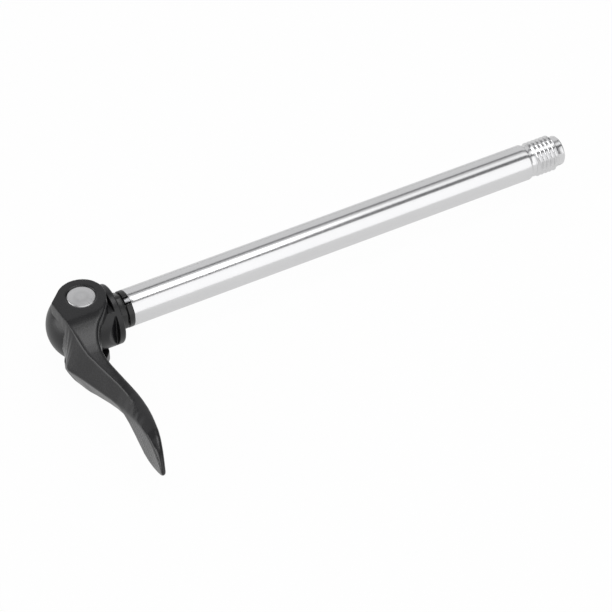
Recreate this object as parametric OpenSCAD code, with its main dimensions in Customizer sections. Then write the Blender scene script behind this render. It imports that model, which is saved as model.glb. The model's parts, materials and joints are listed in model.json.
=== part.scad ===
// Rear thru axle with a quick-release cam lever.
// The origin is the centre of the axle shaft's head end, on the axle axis.
// +X runs along the axle towards its thread, and +Z runs up the cam pin.
// The lever is drawn closed, reaching towards -Y.

/* [Axle] */
// Diameter of the axle shaft
axle_d = 12; // [10:0.5:15]
// Length of the full-diameter shaft
shaft_l = 144.7; // [90:0.1:190]
// Bore through the axle
axle_bore_d = 7; // [6.5:0.1:7.6]
// Diameter of the undercut before the thread
neck_d = 10.4; // [9:0.1:10.6]
// Length of the undercut
neck_l = 1.4; // [1:0.1:3]
// Crest diameter of the thread
thread_d = 11.8; // [11:0.1:11.9]
// Pitch of the thread
thread_pitch = 1.5; // [1:0.25:1.75]
// Depth of the thread
thread_depth = 0.8; // [0.5:0.05:0.9]
// Number of thread ridges
thread_turns = 6; // [4:1:10]
// Diameter of the pilot after the thread
pilot_d = 10; // [8.5:0.1:10.2]
// Length of the pilot
pilot_l = 2.6; // [1.5:0.1:5]

/* [Index ring and nut] */
// Width of the notched index ring
ring_w = 1.7; // [1.2:0.1:2.5]
// Diameter of the axle spigot inside the ring
spigot_d = 9.4; // [9:0.1:10]
// Width of the key that stands in the ring's notch
key_w = 1.4; // [1.2:0.1:2.4]
// Angle of the key round the axle, from +Y towards +Z
key_a = 111; // [90:1:140]
// Thickness of the washer behind the nut
washer_t = 0.5; // [0.3:0.1:0.8]
// Diameter of that washer
washer_d = 9.6; // [9:0.1:10.4]
// Thickness of the hexagonal nut
nut_t = 2.4; // [2:0.1:3]
// Width of the nut across its flats
nut_af = 11; // [10.4:0.1:11.4]
// Diameter that the nut's corners are turned to
nut_d = 12; // [11.5:0.1:12]
// Chamfer of the nut's corners
nut_chamfer = 0.4; // [0.2:0.05:0.8]

/* [Draw stem] */
// Diameter of the stem's shank
stem_d = 6; // [5:0.1:6.2]
// Length of the shank inside the axle
stem_hold = 18; // [10:1:30]
// Diameter of the stem's head
eye_d = 12; // [11.4:0.1:12]
// Thickness of the head across its two flats
eye_t = 7.2; // [6.6:0.1:7.2]
// Reach of the head past the pin axis, each way
eye_reach = 5.7; // [5.6:0.1:5.8]

/* [Cam housing] */
// Diameter of the housing's barrel and flange
barrel_d = 19.6; // [19:0.1:20.4]
// Radius of the domed outer end, about the pin axis
dome_r = 11.7; // [11.2:0.1:11.8]
// Distance from the pin axis to the flange's inner side
flange_in = 8; // [7.95:0.05:8.4]
// Thickness of the flange
flange_t = 2.2; // [1.8:0.1:2.6]
// Rounding of the flange's outer edge
flange_round = 0.7; // [0.3:0.1:0.9]
// Height across the two flats under the lever's ears
flats_h = 14.4; // [14:0.1:14.6]
// Radius of the side reliefs in front of the flange, about the pin axis
relief_r = 10.7; // [10.4:0.1:11.4]
// Diameter of the bore that the stem's head slides in
chamber_d = 12.4; // [12.3:0.05:12.5]
// Length of the guide bush round the shank
guide_l = 1.9; // [1.5:0.1:2]
// Depth of the recess for the disc spring
recess_l = 1.1; // [0.9:0.1:1.2]
// Width of the disc spring's ring
spring_w = 1.7; // [1.2:0.1:2.2]
// Thickness of the disc spring
spring_t = 0.35; // [0.2:0.05:0.5]

/* [Cam pin] */
// Diameter of the pin's upper journal and visible end
pin_d = 9.2; // [9:0.1:9.4]
// Diameter of the lower journal
tail_d = 5; // [4.4:0.1:5]
// Diameter of the eccentric
cam_d = 6.4; // [6.4:0.1:6.8]
// Offset of the eccentric from the pin axis
cam_throw = 0.7; // [0.5:0.05:0.7]
// Wall of the two pin bushes
bush_wall = 0.7; // [0.5:0.05:0.8]
// Drop of the pin's end below the top of the head
pin_drop = 0.2; // [0.1:0.05:0.4]
// Chamfer round that end
pin_edge = 0.3; // [0.1:0.05:0.5]
// Diameter of the screw head under the lower ear
screw_head_d = 7.4; // [7:0.1:8]
// Thickness of the screw's head
screw_head_t = 1.2; // [0.9:0.1:1.5]
// Drop of the screw's head into the lower ear
screw_drop = 0.3; // [0.1:0.1:0.5]
// Diameter of that screw's shank
screw_d = 3; // [2.5:0.1:3.2]
// Width of the screw's hexagon socket, across flats
screw_af = 2.5; // [2:0.1:3]
// Depth of that socket
screw_socket = 0.8; // [0.5:0.1:0.9]
// Inset of the washers from the rims of the two ears
washer_inset = 0.9; // [0.6:0.1:1.2]

/* [Lever] */
// Half the height of the lever's head
head_h = 12; // [11.6:0.1:12.6]
// Radius of the head round the pin
head_r = 7.7; // [7.5:0.05:7.75]
// Radius of the lower ear round the pin
lower_ear_r = 6.1; // [6:0.05:6.3]
// Reach of the lever from the pin axis to its tip
arm_reach = 68.2; // [60:0.1:80]
// Chamfer round the pin's bore in the upper ear
bore_chamfer = 0.35; // [0.2:0.05:0.6]
// Bevel along the arm's inner edge
arm_bevel = 0.7; // [0.4:0.1:0.9]

/* [Fits] */
// Running clearance of shafts in bushes, on the radius
run_gap = 0.05; // [0.02:0.01:0.08]
// Free gap between parts that pass each other
free_gap = 0.3; // [0.2:0.05:0.35]
// Side play of the washers under the ears
side_gap = 0.02; // [0.01:0.01:0.05]
// Gap of parts that are fitted tight
seat_gap = 0.02; // [0.01:0.01:0.05]
// Gap each side of the key in the ring's notch
notch_gap = 0.6; // [0.2:0.05:0.7]
// Gap round the eccentric in the stem's eye, which lets the joint follow a straight ratio
eye_gap = 0.25; // [0.22:0.01:0.3]

/* [Hidden] */
$fn = 96;
tiny = 0.01;

// Places along X, from the shaft's head end
nut_x = -ring_w - washer_t - nut_t;
face_x = nut_x - 0.2;
pin_x = face_x - flange_t - flange_in;
thread_x = shaft_l + neck_l;
pilot_x = thread_x + thread_turns * thread_pitch;
axle_end = pilot_x + pilot_l;

// Heights and radii that follow from the sizes above
ear_z = flats_h / 2 + free_gap;
cam_half = eye_t / 2 + 0.2;
chamber_r = chamber_d / 2;
slot_r = dome_r + free_gap;
upper_hole_r = pin_d / 2 + run_gap + bush_wall;
lower_hole_r = tail_d / 2 + run_gap + bush_wall;
recess_x = face_x - recess_l;
spring_r = stem_d / 2 + spring_w;
tail_z = head_h - screw_head_t - screw_drop;
washer_play = 5 * side_gap;
lap = 0.1; // overlap of joined solids
heel_y = 8.3; // where the lower ear meets the arm
heel_margin = 0.7; // width of its cut beside the arm
rim_dip = 0.15; // depth under the rim at which its sides start

// Lever edges. Each row is a share of arm_reach from the pin axis and a place across, in mm.
crease_path = [[-0.03, -9.3], [0.1, -8.8], [0.16, -8.5], [0.22, -8], [0.29, -7.6], [0.34, -6.6],
               [0.4, -5.5], [0.45, -4.5], [0.52, -3.5], [0.6, -2.9], [0.7, -2.7], [0.79, -2.6],
               [0.87, -3.7], [0.94, -5.2], [1, -6]];
inner_path = [[-0.03, 7.2], [0.06, 7], [0.14, 3.3], [0.18, 0.6], [0.21, -0.7], [0.25, -2], [0.3, -2.7],
              [0.37, -2.4], [0.43, -1.6], [0.5, -0.7], [0.57, 0], [0.64, 0.2], [0.71, -0.1],
              [0.79, -0.9], [0.85, -1.7], [0.92, -3.1], [1, -5]];
flank_path = [[-0.03, -10], [0.08, -10.1], [0.14, -10.7], [0.19, -11.9], [0.226, -12.8],
              [0.26, -11.9], [0.31, -10.6], [0.37, -9.2], [0.43, -7.8], [0.49, -6.4], [0.56, -5.4],
              [0.66, -5.2], [0.78, -5.4], [0.88, -5.6], [0.95, -6], [1, -6.4]];
// Half heights of the arm and of its grip pad, on the same shares
top_path = [[-0.03, 12], [0.12, 12], [0.15, 11.7], [0.2, 10.7], [0.25, 9.5], [0.28, 8.8], [0.32, 8.1],
            [0.4, 7], [0.48, 6.2], [0.56, 5.8], [0.64, 5.9], [0.72, 6.3], [0.8, 6.5], [0.86, 6.3],
            [0.92, 5], [0.96, 3.5], [0.985, 2.1], [1, 0.8]];
pad_path = [[-0.03, 0.3], [0.52, 0.3], [0.59, 1.2], [0.65, 2.4], [0.71, 4], [0.77, 5.4], [0.82, 5.8],
            [0.86, 5.6], [0.89, 4.9], [0.92, 3.9], [0.95, 2.5], [0.985, 1], [1, 0.4]];
stations = [-0.026, 0.03, 0.08, 0.12, 0.15, 0.18, 0.205, 0.226, 0.245, 0.265, 0.3, 0.34, 0.38,
            0.43, 0.48, 0.53, 0.58, 0.63, 0.68, 0.73, 0.78, 0.83, 0.87, 0.9, 0.93, 0.955,
            0.975, 0.99, 1];

// Slope of a path at one of its rows
function slope(p, i) =
    let (a = p[max(i - 1, 0)], b = p[min(i + 1, len(p) - 1)]) (b[1] - a[1]) / (b[0] - a[0]);
// The row that a share falls behind
function row(p, s, i = 0) = i >= len(p) - 2 || s < p[i + 1][0] ? i : row(p, s, i + 1);
// A smooth curve through the rows of a path
function along(p, s) =
    let (i = row(p, s), w = p[i + 1][0] - p[i][0], t = (s - p[i][0]) / w)
    p[i][1] * (1 + 2 * t) * (1 - t) * (1 - t) + slope(p, i) * w * t * (1 - t) * (1 - t)
    + p[i + 1][1] * t * t * (3 - 2 * t) + slope(p, i + 1) * w * t * t * (t - 1);
// One cross-section of the lever, as points round a closed outline
function lever_section(s) =
    let (y = -s * arm_reach, top = min(along(top_path, s), head_h),
         pad = min(along(pad_path, s), top - 0.1),
         in_x = along(inner_path, s), out_x = along(flank_path, s),
         b = min(arm_bevel, 0.4 * top), edge_x = min(along(crease_path, s), in_x - b - 0.2))
    [for (q = [[in_x, b - top], [in_x, top - b], [in_x - b, top], [edge_x, top],
               [out_x, pad], [out_x, -pad], [edge_x, -top], [in_x - b, -top]]) [q[0], y, q[1]]];

// A solid skinned over equal sections
module skin(sections) {
    m = len(sections[0]);
    n = len(sections);
    sides = [for (i = [0:n - 2], j = [0:m - 1], k = [0, 1])
        let (a = i * m + j, b = i * m + (j + 1) % m)
        k == 0 ? [a, b + m, b] : [a, a + m, b + m]];
    polyhedron(points = [for (s = sections) each s],
               faces = concat([[for (j = [0:m - 1]) j]], sides,
                              [[for (j = [m - 1:-1:0]) (n - 1) * m + j]]));
}

module along_x(r, x0, x1) {
    translate([x0, 0, 0]) rotate([0, 90, 0]) cylinder(r = r, h = x1 - x0);
}

// Places its children on the pin axis
module at_pin() {
    translate([pin_x, 0, 0]) children();
}

module ring_z(r_out, r_in, z0, z1) {
    translate([0, 0, z0]) difference() {
        cylinder(r = r_out, h = z1 - z0);
        translate([0, 0, -1]) cylinder(r = r_in, h = z1 - z0 + 2);
    }
}

// The sector of the spigot's rim that the key fills, grown by a gap each side
module key_block(gap, x0, x1) {
    rotate([key_a, 0, 0]) translate([x0, 0, -key_w / 2 - gap])
        cube([x1 - x0, axle_d, key_w + 2 * gap]);
}

module axle_profile() {
    crest = thread_d / 2;
    root = crest - thread_depth;
    teeth = [for (i = [0:thread_turns - 1], q = [[0.15, root], [0.45, crest], [0.6, crest], [0.9, root]])
        [thread_x + (i + q[0]) * thread_pitch, q[1]]];
    polygon(concat(
        [[0, axle_bore_d / 2], [0, axle_d / 2], [shaft_l - 0.5, axle_d / 2], [shaft_l, axle_d / 2 - 0.4],
         [shaft_l + 0.1, neck_d / 2], [thread_x, neck_d / 2]],
        teeth,
        [[pilot_x, pilot_d / 2], [axle_end - 0.6, pilot_d / 2], [axle_end, pilot_d / 2 - 0.5],
         [axle_end, axle_bore_d / 2]]));
}

module axle() {
    color("silver") union() {
        rotate([90, 0, 90]) rotate_extrude() rotate(90) mirror([0, 1]) axle_profile();
        // Spigot and key, which the notched ring sits on
        difference() {
            union() {
                along_x(spigot_d / 2, -ring_w, tiny);
                intersection() {
                    along_x(axle_d / 2, -ring_w, tiny);
                    key_block(0, -ring_w, tiny);
                }
            }
            along_x(stem_d / 2, -ring_w - 1, 1);
        }
        // Narrower bore that holds the stem
        difference() {
            along_x(axle_bore_d / 2 + tiny, 0, stem_hold);
            along_x(stem_d / 2, -1, stem_hold + 1);
        }
    }
}

module index_ring() {
    color("dimgray") difference() {
        along_x(axle_d / 2, -ring_w, -seat_gap);
        along_x(spigot_d / 2 + seat_gap, -ring_w - 1, 1);
        key_block(notch_gap, -ring_w - 1, 1);
    }
}

module lock_washer() {
    color("dimgray") difference() {
        along_x(washer_d / 2, -ring_w - washer_t, -ring_w - seat_gap);
        along_x(stem_d / 2 + seat_gap, -ring_w - washer_t - 1, 0);
    }
}

module lock_nut() {
    color("black") difference() {
        intersection() {
            translate([nut_x, 0, 0]) rotate([0, 90, 0])
                cylinder(r = nut_af / sqrt(3), h = nut_t - seat_gap, $fn = 6);
            along_x(nut_d / 2, nut_x, 0);
            // Chamfer round the corners on the flange's side
            translate([nut_x, 0, 0]) rotate([0, 90, 0])
                cylinder(r1 = nut_d / 2 - nut_chamfer, r2 = nut_d / 2 + nut_t - nut_chamfer, h = nut_t);
        }
        along_x(stem_d / 2 + seat_gap, nut_x - 1, 1);
    }
}

module draw_stem() {
    hole_x = cam_d / 2 + eye_gap;
    hole_y = hole_x + cam_throw;
    color("lightgray") difference() {
        union() {
            intersection() {
                along_x(eye_d / 2, pin_x - eye_reach, pin_x + eye_reach);
                translate([pin_x - eye_reach, -eye_d, -eye_t / 2])
                    cube([2 * eye_reach, 2 * eye_d, eye_t]);
            }
            along_x(stem_d / 2, pin_x + eye_reach - tiny, stem_hold);
        }
        translate([pin_x - cam_throw, 0, 0]) linear_extrude(height = 2 * eye_t, center = true) {
            square([2 * hole_x, 2 * (hole_y - hole_x)], center = true);
            for (side = [-1, 1]) translate([0, side * (hole_y - hole_x)]) circle(r = hole_x);
        }
    }
}

// A coned spring washer between the nut and the housing, pressed almost flat
module disc_spring() {
    inner = stem_d / 2 + 3 * run_gap;
    rise = nut_x - recess_x - spring_t - 2 * run_gap;
    color("gray") translate([nut_x - seat_gap, 0, 0]) rotate([0, -90, 0]) rotate_extrude()
        polygon([[inner, 0], [inner, spring_t], [spring_r, rise + spring_t], [spring_r, rise]]);
}

// Half outline of the housing, as radius and distance from the pin axis along +X
module housing_profile() {
    barrel_r = barrel_d / 2;
    rim = flange_in + flange_t;
    dome_a = asin(barrel_r / dome_r);
    polygon(concat(
        [for (i = [0:12]) [dome_r * sin(dome_a * i / 12), -dome_r * cos(dome_a * i / 12)]],
        [for (a = [0:15:90]) [barrel_r + flange_round * (cos(a) - 1), rim + flange_round * (sin(a) - 1)]],
        [[0, rim]]));
}

// What is milled off the barrel's two sides beside the flange, round the pin axis
module side_reliefs() {
    difference() {
        translate([0, -2 * dome_r, -dome_r]) cube([flange_in, 4 * dome_r, 2 * dome_r]);
        cylinder(r = relief_r, h = 4 * dome_r, center = true);
    }
}

module cam_housing() {
    color("black") difference() {
        at_pin() rotate([90, 0, 90]) rotate_extrude() housing_profile();
        for (side = [0, 1]) mirror([0, 0, side])
            translate([pin_x - 2 * dome_r, -dome_r, flats_h / 2])
                cube([2 * dome_r + flange_in, 2 * dome_r, dome_r]);
        at_pin() side_reliefs();
        along_x(chamber_r, pin_x - eye_reach - 2 * cam_throw - free_gap, face_x + 1);
        at_pin() cylinder(r = upper_hole_r, h = dome_r);
        at_pin() mirror([0, 0, 1]) cylinder(r = lower_hole_r, h = dome_r);
    }
}

module guide_bush() {
    color("tan") difference() {
        along_x(chamber_r, recess_x - guide_l, recess_x);
        along_x(stem_d / 2 + run_gap, recess_x - guide_l - 1, recess_x + 1);
    }
}

module upper_bush() {
    color("tan") at_pin() ring_z(upper_hole_r, pin_d / 2 + run_gap, cam_half, flats_h / 2);
}

module lower_bush() {
    color("tan") at_pin() ring_z(lower_hole_r, tail_d / 2 + run_gap, -flats_h / 2, -cam_half);
}

module upper_washer() {
    color("dimgray") at_pin()
        ring_z(head_r - washer_inset, pin_d / 2 + run_gap, flats_h / 2 + washer_play, ear_z - side_gap);
}

module lower_washer() {
    color("dimgray") at_pin()
        ring_z(lower_ear_r - washer_inset, tail_d / 2 + run_gap,
               side_gap - ear_z, -flats_h / 2 - washer_play);
}

// Turned in one piece: wide upper journal, eccentric and narrow lower journal
module cam_pin() {
    rim = head_h - pin_drop - pin_edge;
    color("lightgray") at_pin() difference() {
        union() {
            translate([0, 0, cam_half - lap]) cylinder(r = pin_d / 2, h = rim - cam_half + lap);
            translate([0, 0, rim]) cylinder(r1 = pin_d / 2, r2 = pin_d / 2 - pin_edge, h = pin_edge);
            translate([-cam_throw, 0, lap - cam_half]) cylinder(r = cam_d / 2, h = 2 * (cam_half - lap));
            translate([0, 0, -tail_z]) cylinder(r = tail_d / 2, h = tail_z - cam_half + 2 * lap);
        }
        translate([0, 0, -tail_z - 1]) cylinder(r = screw_d / 2, h = tail_z - cam_half + 1);
    }
}

module pin_screw() {
    color("dimgray") at_pin() difference() {
        union() {
            translate([0, 0, -tail_z - screw_head_t])
                cylinder(r = screw_head_d / 2, h = screw_head_t - seat_gap);
            translate([0, 0, -tail_z - lap]) cylinder(r = screw_d / 2, h = tail_z - cam_half - 6 * lap);
        }
        translate([0, 0, -tail_z - screw_head_t - 1])
            cylinder(r = screw_af / sqrt(3), h = 1 + screw_socket, $fn = 6);
    }
}

// The head's plan beside the pin: a disc with a shoulder towards the outer flank
module head_plan() {
    circle(r = head_r);
    polygon([[-9.1, 1.8], [-4.9, 5.94], [0, 0], [-8.9, -6]]);
}

// Where a line from a point beside the arm dips under the lower ear's rim, on one side
function under_rim(p, side) =
    let (r = lower_ear_r - rim_dip, a = atan2(p[1], p[0]) + side * acos(r / norm(p)))
    r * [cos(a), sin(a)];

// The lower ear's plan: a smaller disc that widens straight into the arm
module lower_plan() {
    inner = [along(inner_path, heel_y / arm_reach) + heel_margin, -heel_y];
    outer = [along(flank_path, heel_y / arm_reach) - heel_margin, -heel_y];
    circle(r = lower_ear_r);
    polygon([under_rim(inner, 1), inner, inner - [0, 1], outer - [0, 1], outer, under_rim(outer, -1)]);
}

// What is cut away round the lower ear, behind the arm's root
module lower_cut() {
    translate([0, 0, -2 * head_h]) linear_extrude(height = 2 * head_h - ear_z) difference() {
        translate([-2 * head_r, -heel_y]) square([4 * head_r, heel_y + 2 * head_r]);
        lower_plan();
    }
}

module lever() {
    pin_r = pin_d / 2 + seat_gap;
    color("black") at_pin() difference() {
        union() {
            skin([for (s = stations) lever_section(s)]);
            translate([0, 0, -head_h]) cylinder(r = head_r, h = 2 * head_h);
            translate([0, 0, ear_z]) linear_extrude(height = head_h - ear_z) head_plan();
        }
        // Slot between the ears, which the housing turns in
        cylinder(r = slot_r, h = 2 * ear_z, center = true);
        lower_cut();
        cylinder(r = pin_r, h = 2 * head_h);
        translate([0, 0, head_h - bore_chamfer])
            cylinder(r1 = pin_r, r2 = pin_r + bore_chamfer + tiny, h = bore_chamfer + tiny);
        translate([0, 0, -2 * head_h]) cylinder(r = tail_d / 2 + seat_gap, h = 2 * head_h);
        translate([0, 0, -tail_z - head_h]) cylinder(r = screw_head_d / 2 + 2 * run_gap, h = head_h);
    }
}

axle();
index_ring();
lock_washer();
lock_nut();
draw_stem();
disc_spring();
cam_housing();
guide_bush();
upper_bush();
lower_bush();
lever();
cam_pin();
upper_washer();
lower_washer();
pin_screw();
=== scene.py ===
# A rear thru axle with a quick-release cam lever, dressed for its render.
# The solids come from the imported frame.
# Sizes here are in millimetres, unless a name says otherwise.
import json
import math
import bmesh
import bpy
from mathutils import Matrix, Vector


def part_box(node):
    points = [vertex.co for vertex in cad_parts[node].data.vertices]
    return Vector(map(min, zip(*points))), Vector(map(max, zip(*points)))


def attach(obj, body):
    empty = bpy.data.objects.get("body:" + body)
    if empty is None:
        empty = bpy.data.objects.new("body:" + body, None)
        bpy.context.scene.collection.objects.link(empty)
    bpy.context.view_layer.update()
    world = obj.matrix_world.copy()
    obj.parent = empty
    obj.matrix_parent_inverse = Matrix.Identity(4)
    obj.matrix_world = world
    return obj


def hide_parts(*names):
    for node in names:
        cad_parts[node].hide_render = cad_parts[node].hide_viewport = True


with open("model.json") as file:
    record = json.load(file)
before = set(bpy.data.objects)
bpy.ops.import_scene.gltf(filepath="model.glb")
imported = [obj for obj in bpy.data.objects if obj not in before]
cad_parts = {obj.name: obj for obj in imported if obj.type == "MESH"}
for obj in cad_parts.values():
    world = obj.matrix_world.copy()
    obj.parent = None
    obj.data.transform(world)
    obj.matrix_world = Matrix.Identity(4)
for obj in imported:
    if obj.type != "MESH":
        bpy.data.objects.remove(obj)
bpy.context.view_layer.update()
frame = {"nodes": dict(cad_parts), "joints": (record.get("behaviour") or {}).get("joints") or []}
MM = 0.001

# Places that the frame gives
shaft_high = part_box("axle")[1]
pin_x = frame["joints"][1]["pos_m"][0] / MM
axle_end = shaft_high.x / MM
shaft_r = shaft_high.y / MM

# Grip pad
dot_pitch = 0.95
dot_radius = 0.36  # as a share of the pitch
dot_edge = 6.0  # how sharply a dot ends
row_shift = 0.5  # how far each row is set over the one below
pad_centre = -56.0
pad_half_length = 11.5
pad_half_height = 5.2
pad_plane = 3.4  # distance outwards from the pin's axis past which the pad lies
pad_fade = 3.0


# Shader maths
class Value:
    """A shader socket that can be added, multiplied and compared like a number."""

    def __init__(self, tree, socket):
        self.tree = tree
        self.socket = socket

    def combine(self, operation, first, second=None):
        node = self.tree.nodes.new("ShaderNodeMath")
        node.operation = operation
        for index, term in enumerate((first, second)):
            if isinstance(term, Value):
                self.tree.links.new(term.socket, node.inputs[index])
            elif term is not None:
                node.inputs[index].default_value = term
        return Value(self.tree, node.outputs[0])

    def __add__(self, other):
        return self.combine("ADD", self, other)

    def __mul__(self, other):
        return self.combine("MULTIPLY", self, other)

    def __sub__(self, other):
        return self.combine("SUBTRACT", self, other)

    def __rsub__(self, other):
        return self.combine("SUBTRACT", other, self)

    def __truediv__(self, other):
        return self.combine("DIVIDE", self, other)

    __radd__ = __add__
    __rmul__ = __mul__

    def part(self):
        """What is left past the whole number."""
        return self.combine("FRACT", self)

    def size(self):
        """The value without its sign."""
        return self.combine("ABSOLUTE", self)

    def wave(self):
        """A wave from 0 to 1, with the value as its angle."""
        return self.combine("SINE", self) * 0.5 + 0.5

    def root(self):
        return self.combine("SQRT", self)

    def bounded(self):
        return self.combine("MAXIMUM", self.combine("MINIMUM", self, 1.0), 0.0)


class Finish:
    """A material in the making, with its shader and the piece's own coordinates."""

    def __init__(self, name):
        self.material = bpy.data.materials.new(name)
        self.material.use_nodes = True
        self.tree = self.material.node_tree
        self.tree.nodes.clear()
        self.shader = self.node("ShaderNodeBsdfPrincipled")
        output = self.node("ShaderNodeOutputMaterial")
        self.tree.links.new(self.shader.outputs[0], output.inputs["Surface"])
        place = self.node("ShaderNodeTexCoord").outputs["Object"]
        sockets = {"Vector": place, "Scale": 1 / MM}
        scaled = self.node("ShaderNodeVectorMath", {"operation": "SCALE"}, sockets)
        self.place = scaled.outputs[0]

    def node(self, kind, settings=None, sockets=None):
        made = self.tree.nodes.new(kind)
        for key, setting in (settings or {}).items():
            setattr(made, key, setting)
        for key, value in (sockets or {}).items():
            if isinstance(value, Value):
                value = value.socket
            if isinstance(value, bpy.types.NodeSocket):
                self.tree.links.new(value, made.inputs[key])
            else:
                made.inputs[key].default_value = value
        return made

    def axes(self):
        split = self.node("ShaderNodeSeparateXYZ", None, {0: self.place})
        return [Value(self.tree, socket) for socket in split.outputs]

    def noise(self, scale, detail=2.0, stretch=(1, 1, 1)):
        mapped = self.node("ShaderNodeMapping", None, {"Vector": self.place, "Scale": stretch})
        sockets = {"Vector": mapped.outputs[0], "Scale": scale, "Detail": detail}
        made = self.node("ShaderNodeTexNoise", None, sockets)
        return Value(self.tree, made.outputs[0])

    def blend(self, mask, low, high):
        """A colour between two others, by a mask from 0 to 1."""
        sockets = {0: mask, 6: (*low, 1), 7: (*high, 1)}
        made = self.node("ShaderNodeMix", {"data_type": "RGBA"}, sockets)
        return made.outputs[2]

    def bump(self, height, depth):
        """Relief from a height of 0 to 1 that stands for so many millimetres."""
        sockets = {"Height": height, "Distance": depth * MM, "Strength": 1.0}
        made = self.node("ShaderNodeBump", None, sockets)
        self.tree.links.new(made.outputs[0], self.shader.inputs["Normal"])

    def set(self, **values):
        for key, value in values.items():
            socket = self.shader.inputs[key.replace("_", " ")]
            if isinstance(value, Value):
                value = value.socket
            if isinstance(value, bpy.types.NodeSocket):
                self.tree.links.new(value, socket)
            else:
                socket.default_value = value


def pad_dots(finish):
    """1 on the fine dots of the lever's grip pad, which is the outer facet near its tip."""
    x, y, z = finish.axes()
    across = (z / dot_pitch).part() - 0.5
    along = (y / dot_pitch + z * row_shift / dot_pitch).part() - 0.5
    radius = (across * across + along * along).root()
    dot = (radius * -1.0 + dot_radius) * dot_edge
    reach = (y - pad_centre) / pad_half_length
    edge = (1.0 - reach * reach).bounded().root() * pad_half_height
    inside = edge - z.size()
    outer = (x * -1.0 + pin_x - pad_plane) * pad_fade
    return dot.bounded() * inside.bounded() * outer.bounded()


def black_anodised(name, roughness=0.27, grain=0.008, dotted=False):
    """Blasted and anodised forging: near black, satin, with a fine even grain."""
    finish = Finish(name)
    cloud = finish.noise(0.22, 3.0)
    fine = finish.noise(9.0, 2.0)
    dots = pad_dots(finish) if dotted else fine * 0.0
    finish.set(
        Base_Color=finish.blend(
            cloud * 0.03 + dots * 0.97, (0.007, 0.007, 0.008), (0.13, 0.13, 0.132)
        ),
        Roughness=cloud * 0.05 + fine * 0.05 + (roughness - 0.05),
        Metallic=0.0,
        IOR=1.5,
    )
    finish.bump(fine * 0.1 + dots * 0.9, grain * 10 if dotted else grain)
    return finish.material


def silver_anodised(name):
    """Drawn bar with a clear satin anodised skin and faint lines round it; the spigot and key
    below x = 0 are painted dark grey as painted shade.
    """
    finish = Finish(name)
    lines = finish.noise(2.2, 3.0, (6.0, 0.4, 0.4))
    cloud = finish.noise(0.08, 2.0)
    # The spigot and key below x = 0 get a dark grey base colour: painted shade, not a real darker
    # finish.
    spigot = (finish.axes()[0] * -20.0).bounded()
    finish.set(
        Base_Color=finish.blend(
            (1 - spigot) * 0.95 + cloud * 0.05, (0.16, 0.16, 0.165), (0.79, 0.79, 0.795)
        ),
        Roughness=lines * 0.05 + 0.17,
        Metallic=1.0,
    )
    finish.bump(lines, 0.0016)
    return finish.material


def turned_face(name, centre):
    """Steel faced on a lathe: fine rings round the pin's axis."""
    tool_pitch = 0.42
    finish = Finish(name)
    x, y, z = finish.axes()
    radius = ((x - centre) * (x - centre) + y * y).root()
    rings = (radius * (2 * math.pi / tool_pitch)).wave()
    broad = (radius * 2.4).wave()
    finish.set(
        Base_Color=finish.blend(
            rings * 0.6 + broad * 0.4, (0.58, 0.58, 0.585), (0.72, 0.72, 0.725)
        ),
        Roughness=0.34,
        Metallic=1.0,
    )
    finish.bump(rings, 0.012)
    return finish.material


def black_steel(name, level=0.012, roughness=0.3):
    """Blackened steel of the small turned parts."""
    finish = Finish(name)
    fine = finish.noise(6.0, 2.0)
    finish.set(
        Base_Color=finish.blend(fine, (level * 0.8,) * 3, (level * 1.2,) * 3),
        Roughness=fine * 0.08 + (roughness - 0.04),
        Metallic=0.0,
        IOR=1.5,
    )
    finish.bump(fine, 0.006)
    return finish.material


def bronze(name):
    finish = Finish(name)
    fine = finish.noise(4.0, 3.0)
    finish.set(
        Base_Color=finish.blend(fine, (0.42, 0.27, 0.12), (0.55, 0.37, 0.18)),
        Roughness=fine * 0.1 + 0.3,
        Metallic=1.0,
    )
    return finish.material


# Mesh helpers
def paint(piece, material):
    piece.data.materials.clear()
    piece.data.materials.append(material)


def smooth_over(mesh, degrees):
    """Smooth shading, except across edges sharper than the angle."""
    mesh.polygons.foreach_set("use_smooth", [True] * len(mesh.polygons))
    mesh.set_sharp_from_angle(angle=math.radians(degrees))
    mesh.update()


def plain(piece):
    """Applies every modifier, so that the piece is a plain mesh at the origin."""
    graph = bpy.context.evaluated_depsgraph_get()
    made = bpy.data.meshes.new_from_object(piece.evaluated_get(graph))
    piece.modifiers.clear()
    piece.data = made
    return piece


def copy_of(node, name):
    """A new piece with a merged copy of a node's mesh."""
    mesh = frame["nodes"][node].data.copy()
    mesh.name = name
    shape = bmesh.new()
    shape.from_mesh(mesh)
    bmesh.ops.remove_doubles(shape, verts=shape.verts, dist=0.002 * MM)
    shape.to_mesh(mesh)
    shape.free()
    piece = bpy.data.objects.new(name, mesh)
    bpy.context.collection.objects.link(piece)
    return piece


def forged(node, name, grain, rounds, broad=None, broad_rounds=0):
    """The node's form with softened edges. broad gives a place's share of the wide smoothing."""
    piece = copy_of(node, name)
    remesh = piece.modifiers.new("skin", "REMESH")
    remesh.mode = "VOXEL"
    remesh.voxel_size = grain * MM
    plain(piece)
    if broad:
        group = piece.vertex_groups.new(name="broad")
        for vertex in piece.data.vertices:
            share = broad(vertex.co / MM)
            if share > 0.01:
                group.add([vertex.index], share, "REPLACE")
        wide = piece.modifiers.new("wide", "SMOOTH")
        wide.factor = 0.5
        wide.iterations = broad_rounds
        wide.vertex_group = "broad"
    soften = piece.modifiers.new("soften", "SMOOTH")
    soften.factor = 0.5
    soften.iterations = rounds
    plain(piece)
    smooth_over(piece.data, 75)
    return piece


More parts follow.
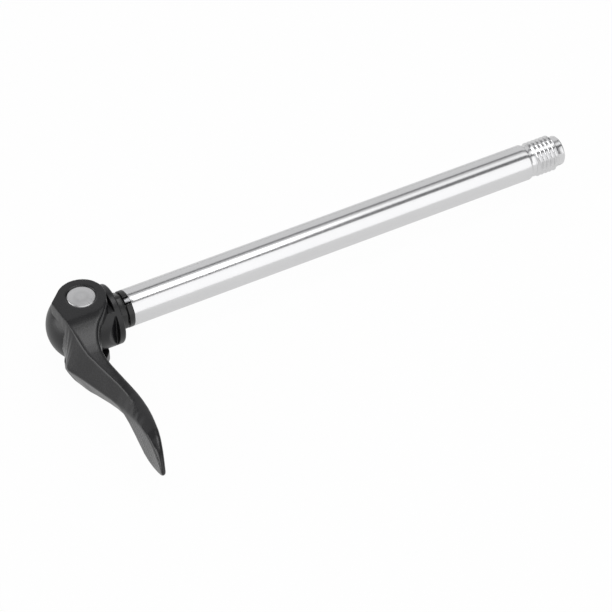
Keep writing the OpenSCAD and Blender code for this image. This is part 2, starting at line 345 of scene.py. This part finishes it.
def edged(node, name, bevel, angle=28):
    """The node's form with a small bevel along its sharp edges."""
    piece = copy_of(node, name)
    shape = bmesh.new()
    shape.from_mesh(piece.data)
    flat = math.radians(0.5)
    bmesh.ops.dissolve_limit(shape, angle_limit=flat, verts=shape.verts, edges=shape.edges)
    folded = [edge for edge in shape.edges if len(edge.link_faces) == 2]
    sharp = [edge for edge in folded if edge.calc_face_angle() > math.radians(angle)]
    bmesh.ops.bevel(
        shape, geom=sharp, offset=bevel * MM, segments=2,
        affect="EDGES", profile=0.5, clamp_overlap=True,
    )
    shape.to_mesh(piece.data)
    shape.free()
    smooth_over(piece.data, 30)
    return piece


def stand_for(piece, node, body):
    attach(piece, body)
    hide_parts(node)


# Axle
shaft_end = 144.7
undercut_r = 5.2
thread_start = 146.1
thread_length = 9.0
thread_pitch = 1.5
thread_crest_r = 5.9
thread_depth = 0.8
ridge_slope = 2.6
ridge_root = 0.25
runout = 0.06  # share of the threaded length over which the ridges fade
pilot_r = 5.0
bore_r = 3.5
spigot_seam = -0.02  # the shaft's own mesh is kept up to here


def thread_radius(x, turn):
    """Radius of the threaded length, where turn is the share of a full turn round the axle."""
    along = (x - thread_start) / thread_length
    phase = ((x - thread_start) / thread_pitch - turn) % 1.0
    ridge = min(max(ridge_slope * (0.5 - abs(phase - 0.5)) - ridge_root, 0.0), 1.0)
    full = min(max(along / runout, 0.0), 1.0) * min(max((1 - along) / runout, 0.0), 1.0)
    crest = thread_crest_r - thread_depth * (1 - ridge)
    return crest * full + (1 - full) * (undercut_r if along < 0.5 else pilot_r)


def axle_rows():
    """Rows of the axle's outside from the ring to the far end, each a place and a radius."""
    rows = [(0.0, 5.85), (0.08, 5.95), (0.2, shaft_r)]
    rows += [(2.0 + 3.0 * i, shaft_r) for i in range(48)]
    rows += [(shaft_end - 0.5, shaft_r), (shaft_end - 0.15, shaft_r - 0.14)]
    rows += [(shaft_end, shaft_r - 0.4), (shaft_end + 0.1, 5.35)]
    rows += [(shaft_end + 0.3, undercut_r), (thread_start - 0.05, undercut_r)]
    steps = 108
    rows += [(thread_start + thread_length * (i + 0.5) / steps, None) for i in range(steps)]
    pilot = thread_start + thread_length
    rows += [(pilot + 0.05, pilot_r), (axle_end - 0.6, pilot_r), (axle_end - 0.42, pilot_r - 0.06)]
    rows += [(axle_end - 0.08, pilot_r - 0.42), (axle_end, pilot_r - 0.5)]
    rows += [(axle_end, bore_r + 0.3), (axle_end - 0.1, bore_r + 0.08)]
    rows += [(axle_end - 0.35, bore_r), (axle_end - 6.0, bore_r)]
    return rows


def spigot_mesh():
    """The axle's spigot and key, cut from the node's own mesh."""
    mesh = frame["nodes"]["axle"].data.copy()
    shape = bmesh.new()
    shape.from_mesh(mesh)
    parts = shape.verts[:] + shape.edges[:] + shape.faces[:]
    seam = (spigot_seam * MM, 0, 0)
    bmesh.ops.bisect_plane(
        shape, geom=parts, plane_co=seam, plane_no=(1, 0, 0), clear_outer=True
    )
    bmesh.ops.remove_doubles(shape, verts=shape.verts, dist=0.002 * MM)
    shape.to_mesh(mesh)
    shape.free()
    return mesh


def threaded_axle():
    """The shaft with a true helix at its far end, and the bore's mouth."""
    segments = 128
    shape = bmesh.new()
    rings = []
    for x, radius in axle_rows():
        ring = []
        for step in range(segments):
            turn = step / segments
            r = thread_radius(x, turn) if radius is None else radius
            angle = 2 * math.pi * turn
            place = (x * MM, r * math.cos(angle) * MM, r * math.sin(angle) * MM)
            ring.append(shape.verts.new(place))
        rings.append(ring)
    for near, far in zip(rings, rings[1:]):
        for step in range(segments):
            after = (step + 1) % segments
            shape.faces.new((near[step], near[after], far[after], far[step]))
    shape.faces.new(rings[0][::-1])
    shape.faces.new(rings[-1])
    bmesh.ops.recalc_face_normals(shape, faces=shape.faces)
    shape.from_mesh(spigot_mesh())
    mesh = bpy.data.meshes.new("threaded_axle")
    shape.to_mesh(mesh)
    shape.free()
    smooth_over(mesh, 32)
    piece = bpy.data.objects.new("threaded_axle", mesh)
    bpy.context.collection.objects.link(piece)
    return piece


silver = silver_anodised("silver_anodised")
black = black_anodised("black_forged", dotted=True)
axle = threaded_axle()
paint(axle, silver)
stand_for(axle, "axle", "axle_body")


# Lever and housing
fillet_y = -8.6  # middle of the wide fillet between the head's top and its front wall
fillet_reach = 5.5
fillet_half_width = 7.0
fillet_fade = 2.5
head_shift = 2.0  # the fillet's middle lies this far outwards of the pin
ear_inside = 7.6  # height of the ears' inner sides, which stay crisp
arm_start = -9.0
arm_fade = 6.0
arm_share = 0.45
bend_y = -36.0  # the arm bends from here towards its tip
bend_fade = 8.0
tip_y = -66.0
tip_fade = 4.0
tip_share = 0.55


def bell(value, centre, reach):
    """1 at the centre, falling smoothly to 0 at the reach each side."""
    share = max(1 - abs(value - centre) / reach, 0.0)
    return share * share * (3 - 2 * share)


def forged_softness(place):
    """How far a place belongs to the forging's soft forms, which are its fillet and its arm."""
    off_middle = abs(place.x - pin_x + head_shift)
    inside = min(max((fillet_half_width - off_middle) / fillet_fade, 0.0), 1.0)
    outside_ears = 1.0 if abs(place.z) > ear_inside else 0.0
    head = bell(place.y, fillet_y, fillet_reach) * inside * outside_ears
    arm = min(max((arm_start - place.y) / arm_fade, 0.0), 1.0) * arm_share
    past_bend = min(max((bend_y - place.y) / bend_fade, 0.0), 1.0)
    before_end = min(max((place.y - tip_y) / tip_fade, 0.0), 1.0)
    tip = past_bend * before_end * tip_share
    return max(head, arm, tip)


lever = forged("lever", "forged_lever", 0.2, 14, forged_softness, 90)
paint(lever, black)
stand_for(lever, "lever", "lever_body")
housing = forged("cam_housing", "housing_shell", 0.16, 4)
paint(housing, black_anodised("housing_black", 0.34))
stand_for(housing, "cam_housing", "housing")

# Small turned parts
pin = edged("cam_pin", "turned_pin", 0.12)
paint(pin, turned_face("turned_steel", pin_x))
stand_for(pin, "cam_pin", "lever_body")
nut = edged("lock_nut", "hex_nut", 0.14)
paint(nut, black_steel("black_nut"))
stand_for(nut, "lock_nut", "axle_body")
ring = edged("index_ring", "notched_ring", 0.12)
paint(ring, black_steel("black_ring"))
stand_for(ring, "index_ring", "axle_body")
for name in ("lock_washer", "disc_spring", "upper_washer", "lower_washer", "pin_screw"):
    paint(frame["nodes"][name], black_steel("black_" + name))
for name in ("guide_bush", "upper_bush", "lower_bush"):
    paint(frame["nodes"][name], bronze("bronze_" + name))
paint(frame["nodes"]["draw_stem"], turned_face("stem_steel", pin_x))

# Stage
floor_z = -12.05
floor_size = 6.0
glow_start = 14.0  # distance from the axle out to which reflections see the floor's glow dimmed, a painted shadow of the axle
glow_reach = 22.0  # and the further distance over which the floor's glow brightens out of that painted shadow
painted_shadow_glow = 0.8
glow_far = 1.8
view_elevation = 44.039
view_azimuth = -27.998
view_roll = -0.351
view_distance = 835.98
focal_px = 2702.34
photo_px = 612
sensor = 36.0
aim_right = -68.853
aim_up = -5.56


def photo_camera():
    """The camera that took the photograph, placed about the pin's axis."""
    elevation = math.radians(view_elevation)
    azimuth = math.radians(view_azimuth)
    roll = math.radians(view_roll)
    back = Vector((
        math.sin(azimuth) * math.cos(elevation),
        -math.cos(azimuth) * math.cos(elevation),
        math.sin(elevation),
    ))
    right = Vector((0, 0, 1)).cross(back).normalized()
    up = back.cross(right)
    turned_right = right * math.cos(roll) + up * math.sin(roll)
    turned_up = up * math.cos(roll) - right * math.sin(roll)
    place = back * view_distance - turned_right * aim_right - turned_up * aim_up
    place += Vector((pin_x, 0, 0))
    data = bpy.data.cameras.new("photo_camera")
    data.sensor_width = sensor
    data.lens = sensor * focal_px / photo_px
    data.clip_start = 0.01
    data.clip_end = 50.0
    camera = bpy.data.objects.new("photo_camera", data)
    axes = Matrix((turned_right, turned_up, back)).transposed()
    camera.matrix_world = Matrix.Translation(place * MM) @ axes.to_4x4()
    bpy.context.collection.objects.link(camera)
    bpy.context.scene.camera = camera


def pale_floor():
    """White sweep: the camera sees it white, and it keeps a soft shadow; reflections see its glow
    dimmed near the axle, a painted shadow.
    """
    mesh = bpy.data.meshes.new("floor")
    half = floor_size / 2
    z = floor_z * MM
    corners = [(-half, -half, z), (half, -half, z), (half, half, z), (-half, half, z)]
    mesh.from_pydata(corners, [], [(0, 1, 2, 3)])
    floor = bpy.data.objects.new("floor", mesh)
    bpy.context.collection.objects.link(floor)
    finish = Finish("floor_white")
    tree = finish.tree
    tree.nodes.clear()
    path = finish.node("ShaderNodeLightPath")
    diffuse = finish.node("ShaderNodeBsdfDiffuse", None, {"Color": (0.86, 0.86, 0.86, 1)})
    seen = Value(tree, path.outputs["Is Camera Ray"])
    mirrored = Value(tree, path.outputs["Is Glossy Ray"])
    x, y, z = finish.axes()
    front = (y * -1.0 - glow_start) / glow_reach
    left = (x * -1.0 - glow_start) / glow_reach
    far = front.combine("MAXIMUM", front, left).bounded()
    # Reflections see the floor's glow dimmed near the axle: painted shadow.
    strength = seen + mirrored * (far * (glow_far - painted_shadow_glow) + painted_shadow_glow)
    glow = finish.node("ShaderNodeEmission", None, {"Color": (1, 1, 1, 1), "Strength": strength})
    share = seen * 0.97 + mirrored * 0.8
    sockets = {0: share, 1: diffuse.outputs[0], 2: glow.outputs[0]}
    mixed = finish.node("ShaderNodeMixShader", None, sockets)
    output = finish.node("ShaderNodeOutputMaterial")
    tree.links.new(mixed.outputs[0], output.inputs["Surface"])
    paint(floor, finish.material)


def strip_light(name, low, high, radiance, distance=1.2, length=2.6, centre=0.43):
    """A softbox along the axle, over the angles from low to high in degrees, 0 being overhead."""
    middle = math.radians((low + high) / 2)
    width = 2 * distance * math.tan(math.radians((high - low) / 2))
    place = Vector((centre, -distance * math.sin(middle), distance * math.cos(middle)))
    return card_light(name, place, Vector((centre, 0, 0)), (length, width), radiance)


def card_light(name, place, target, size, radiance):
    """A flat lamp that shows the same radiance over its whole face."""
    data = bpy.data.lights.new(name, "AREA")
    data.shape = "RECTANGLE"
    data.size, data.size_y = size
    data.energy = radiance * math.pi * size[0] * size[1]
    lamp = bpy.data.objects.new(name, data)
    lamp.visible_camera = False
    back = (place - target).normalized()
    side = Vector((1, 0, 0)) if abs(back.x) < 0.9 else Vector((0, 1, 0))
    side = (side - back * side.dot(back)).normalized()
    axes = Matrix((side, back.cross(side), back)).transposed()
    lamp.matrix_world = Matrix.Translation(place) @ axes.to_4x4()
    bpy.context.collection.objects.link(lamp)
    return lamp


def sky():
    """The studio's soft surroundings: an even dark grey in every direction, white where the camera
    looks straight at it.
    """
    world = bpy.data.worlds.new("studio")
    bpy.context.scene.world = world
    world.use_nodes = True
    tree = world.node_tree
    tree.nodes.clear()
    path = tree.nodes.new("ShaderNodeLightPath")
    near = tree.nodes.new("ShaderNodeBackground")
    near.inputs[0].default_value = (0.12, 0.12, 0.125, 1)
    near.inputs[1].default_value = 1.0
    seen = tree.nodes.new("ShaderNodeBackground")
    seen.inputs[0].default_value = (1, 1, 1, 1)
    mix = tree.nodes.new("ShaderNodeMixShader")
    output = tree.nodes.new("ShaderNodeOutputWorld")
    tree.links.new(path.outputs["Is Camera Ray"], mix.inputs[0])
    tree.links.new(near.outputs[0], mix.inputs[1])
    tree.links.new(seen.outputs[0], mix.inputs[2])
    tree.links.new(mix.outputs[0], output.inputs[0])


photo_camera()
pale_floor()
sky()
softboxes = {
    "overhead_softbox": (-13, 7, 1.0),
    "overhead_edge": (-25, -13, 0.55),
    "front_softbox": (27, 90, 1.12),
    "back_softbox": (-88, -36, 0.6),
}
for name, (low, high, radiance) in softboxes.items():
    strip_light(name, low, high, radiance)
card_light("head_card", Vector((0.1, -0.02, 0.35)), Vector((0.1, -0.02, 0)), (0.16, 0.14), 2.6)
card_light("left_card", Vector((-1.3, 0.3, 0.35)), Vector((0, 0, 0)), (1.2, 0.9), 2.9)
bpy.context.scene.view_settings.view_transform = "Standard"
